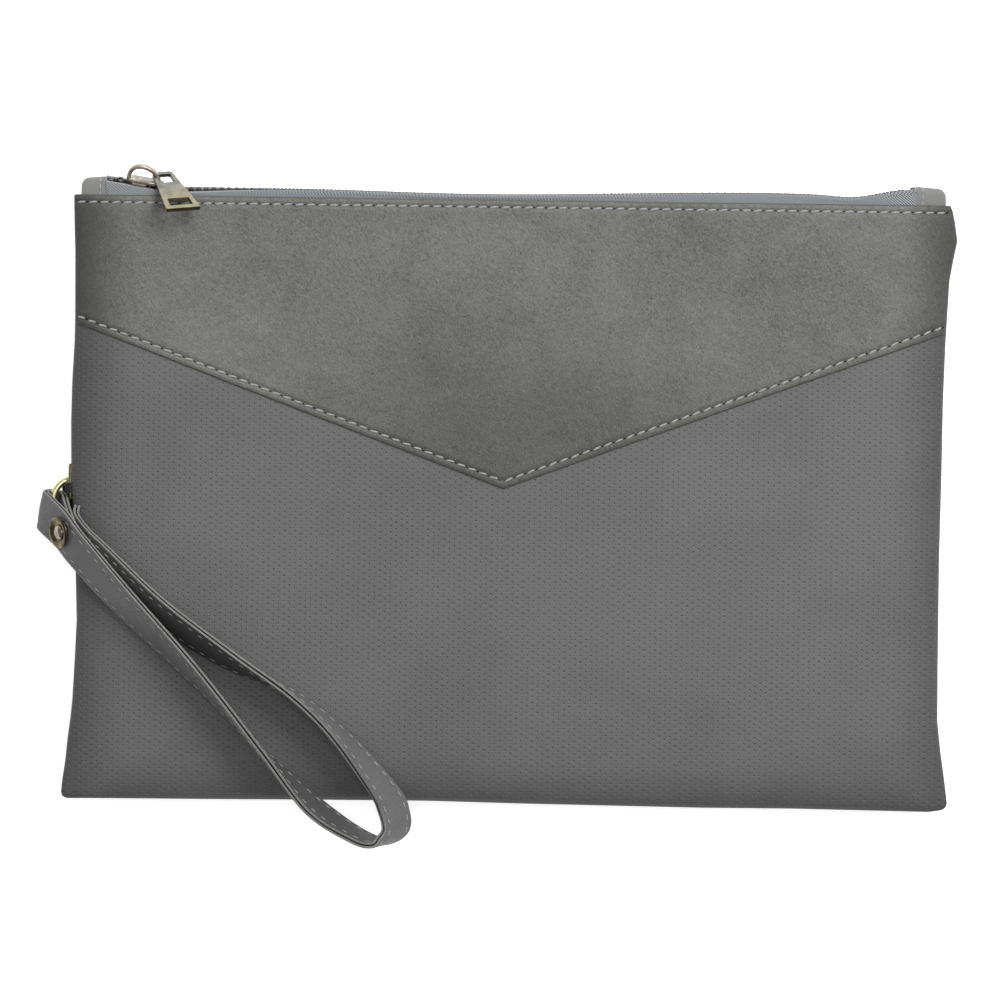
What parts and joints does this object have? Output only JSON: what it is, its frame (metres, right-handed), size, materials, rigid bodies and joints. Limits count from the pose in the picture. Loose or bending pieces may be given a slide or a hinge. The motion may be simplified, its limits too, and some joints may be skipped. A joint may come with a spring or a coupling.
{
  "type": "zip-top cash bag",
  "caption": "Flat zip-top bag with a soft front panel, V-shaped upper overlay, metal zip with a pull plate, and a riveted wrist strap on a side ring.",
  "frame": {"origin": "middle of the outline on the flat resting face of the back panel", "axes": "+X to the right along the zip, +Y from the bottom seam to the zip, +Z out of the front panel; the bag lies on its back in the XY plane"},
  "size_m": [0.3014, 0.2244, 0.0303],
  "materials": {
    "panel_leather": "soft satin with a fine embossed dimple",
    "overlay_suede": "distressed matt nubuck",
    "lining_cloth": "plain woven matt",
    "zip_tape": "herringbone woven matt",
    "zip_metal": "dark antique brass",
    "slider_metal": "antique brass, worn brighter along edges",
    "ring_brass": "pale polished brass",
    "thread": "waxed polyester",
    "strap_leather": "soft satin with a fine embossed dimple",
    "strap_core": "dark matt stiffener",
    "rivet_brass": "antique brass, polished dome"
  },
  "bodies": {
    "bag": {"front_panel": "panel_leather", "front_overlay": "overlay_suede", "back_panel": "panel_leather", "lining_front": "lining_cloth", "lining_back": "lining_cloth", "zip_tape_front": "zip_tape", "zip_tape_back": "zip_tape", "zip_teeth_front": "zip_metal", "zip_teeth_back": "zip_metal", "zip_top_stops": "zip_metal", "zip_bottom_stop": "zip_metal", "zip_end_tab_left": "panel_leather", "zip_end_tab_right": "panel_leather", "top_edge_thread": "thread", "overlay_thread": "thread", "end_tab_threads": "thread", "ring_tab": "panel_leather", "ring_tab_thread": "thread"},
    "slider": {"slider_body": "slider_metal", "slider_bridge": "slider_metal"},
    "pull": {"pull_tab": "slider_metal"},
    "d_ring": {"side_d_ring": "ring_brass"},
    "ring": {"strap_ring": "ring_brass"},
    "strap": {"strap_face": "strap_leather", "strap_core": "strap_core", "strap_backing": "strap_leather", "strap_threads": "thread", "rivet_cap": "rivet_brass", "rivet_post": "rivet_brass", "rivet_back": "rivet_brass"}
  },
  "joints": [
    {"name": "zip_slide", "type": "slide", "parent": "bag", "child": "slider", "axis": [1, 0, 0], "range_m": [0, 0.242], "deforming": ["zip_tape_front", "zip_tape_back", "zip_teeth_front", "zip_teeth_back"]},
    {"name": "pull_swing", "type": "hinge", "parent": "slider", "child": "pull", "pos_m": [-0.1164, 0.1059, 0.0066], "axis": [-0.9889, -0.1483, 0], "range_deg": [0, 25]},
    {"name": "d_ring_swing", "type": "hinge", "parent": "bag", "child": "d_ring", "pos_m": [-0.1444, 0.005, 0.0076], "axis": [0, -1, 0], "range_deg": [0, 6]},
    {"name": "ring_swing", "type": "hinge", "parent": "d_ring", "child": "ring", "pos_m": [-0.1444, 0.0053, 0.00415], "axis": [0, 0, -1], "range_deg": [0, 45]},
    {"name": "strap_swing", "type": "hinge", "parent": "ring", "child": "strap", "pos_m": [-0.1502, -0.0042, 0.00604], "axis": [0, -1, 0], "range_deg": [0, 25]}
  ]
}
